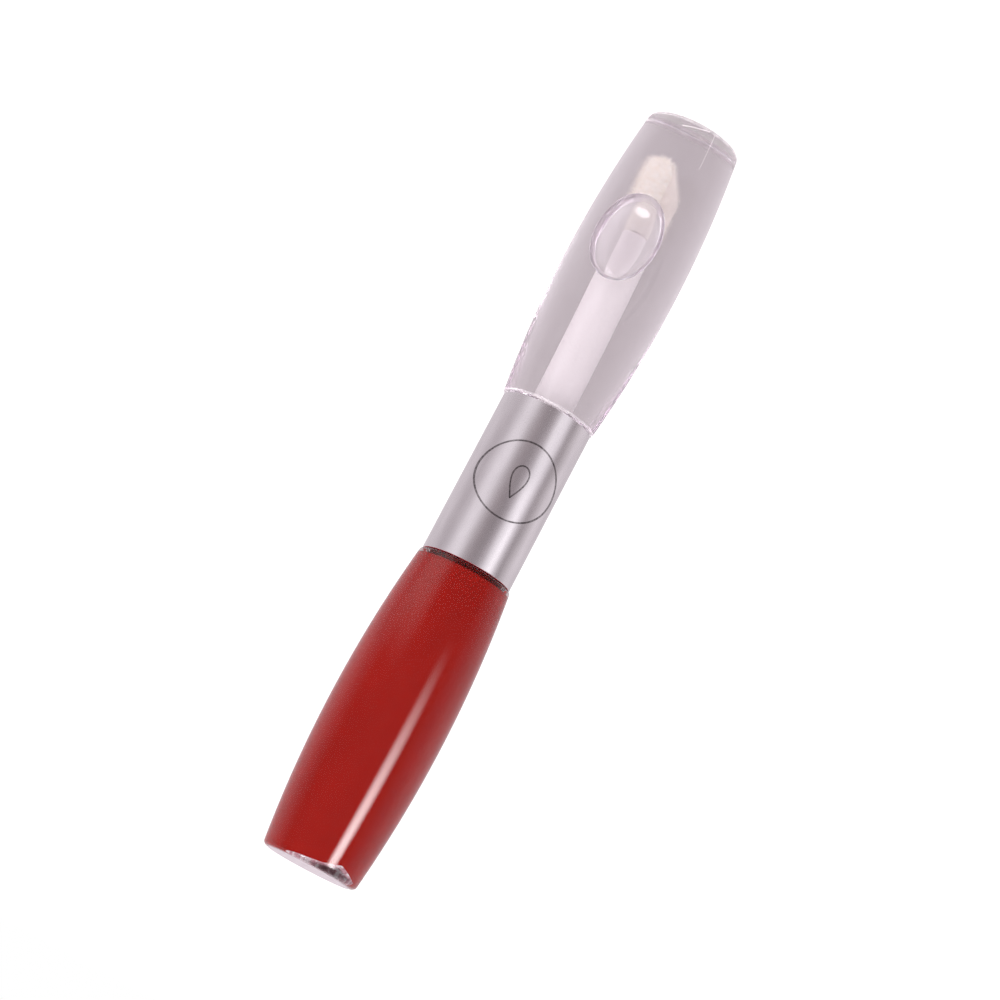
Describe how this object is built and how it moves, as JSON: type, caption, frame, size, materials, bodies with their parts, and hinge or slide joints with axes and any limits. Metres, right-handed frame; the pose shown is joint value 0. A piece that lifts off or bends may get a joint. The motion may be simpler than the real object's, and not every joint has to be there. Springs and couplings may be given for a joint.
{
  "type": "double-ended lip gloss tube",
  "caption": "Double-ended lip colour tube: clear gloss bottle and red lacquer bottle screwed on to one silver sleeve with a flocked wand for each.",
  "frame": {"origin": "centre of the clear bottle's base, on which the tube stands", "axes": "+Z along the tube from the clear bottle to the lacquer bottle; -Y is the front, where the printed ring is"},
  "size_m": [0.0188, 0.0188, 0.1302],
  "materials": {
    "clear_petg": "clear polished PETG",
    "clear_lip_gloss": "clear viscous gloss",
    "red_lip_lacquer": "opaque crimson lacquer",
    "wiper_polyethylene": "translucent white",
    "seal_foam": "soft closed-cell foam",
    "white_stem": "moulded white polypropylene",
    "tip_elastomer": "matte",
    "white_flock": "short nylon flock",
    "red_flock": "nylon flock soaked in lacquer",
    "cap_plastic": "silver grey ABS",
    "satin_sleeve": "satin anodised",
    "stamped_foil": "mirror foil, dark in reflection",
    "label_paper": "blank satin label"
  },
  "bodies": {
    "clear_bottle_body": {"clear_bottle": "clear_petg", "clear_wiper": "wiper_polyethylene", "clear_gloss": "clear_lip_gloss"},
    "clear_washer_body": {"clear_washer": "seal_foam"},
    "clear_stem_body": {"clear_stem": "white_stem"},
    "cap_body": {"sleeve": "satin_sleeve", "foil_mark": "stamped_foil", "clear_inner_cap": "cap_plastic", "colour_inner_cap": "cap_plastic", "clear_tip_core": "tip_elastomer", "clear_tip_flock": "white_flock", "colour_tip_core": "tip_elastomer", "colour_tip_flock": "red_flock"},
    "colour_stem_body": {"colour_stem": "white_stem"},
    "colour_washer_body": {"colour_washer": "seal_foam"},
    "colour_bottle_body": {"colour_bottle": "clear_petg", "colour_wiper": "wiper_polyethylene", "colour_lacquer": "red_lip_lacquer", "shade_label": "label_paper"}
  },
  "joints": [
    {"name": "clear_draw", "type": "slide", "parent": "clear_bottle_body", "child": "clear_washer_body", "axis": [0, 0, 1], "range_m": [0, 0.06], "deforming": ["clear_wiper"]},
    {"name": "clear_rise", "type": "slide", "parent": "clear_washer_body", "child": "clear_stem_body", "axis": [0, 0, 1], "range_m": [0, 0.0046]},
    {"name": "clear_unscrew", "type": "hinge", "parent": "clear_stem_body", "child": "cap_body", "pos_m": [0, 0, 0.0651], "axis": [0, 0, 1], "range_deg": [0, 540]},
    {"name": "colour_unscrew", "type": "hinge", "parent": "cap_body", "child": "colour_stem_body", "pos_m": [0, 0, 0.0651], "axis": [0, 0, 1], "range_deg": [0, 540]},
    {"name": "colour_rise", "type": "slide", "parent": "colour_stem_body", "child": "colour_washer_body", "axis": [0, 0, 1], "range_m": [0, 0.0046]},
    {"name": "colour_draw", "type": "slide", "parent": "colour_washer_body", "child": "colour_bottle_body", "axis": [0, 0, 1], "range_m": [0, 0.06], "deforming": ["colour_wiper"]}
  ],
  "couplings": [
    {"joint": "clear_rise", "follows": "clear_unscrew", "m_per_rad": 0.00047746},
    {"joint": "colour_rise", "follows": "colour_unscrew", "m_per_rad": 0.00047746}
  ]
}
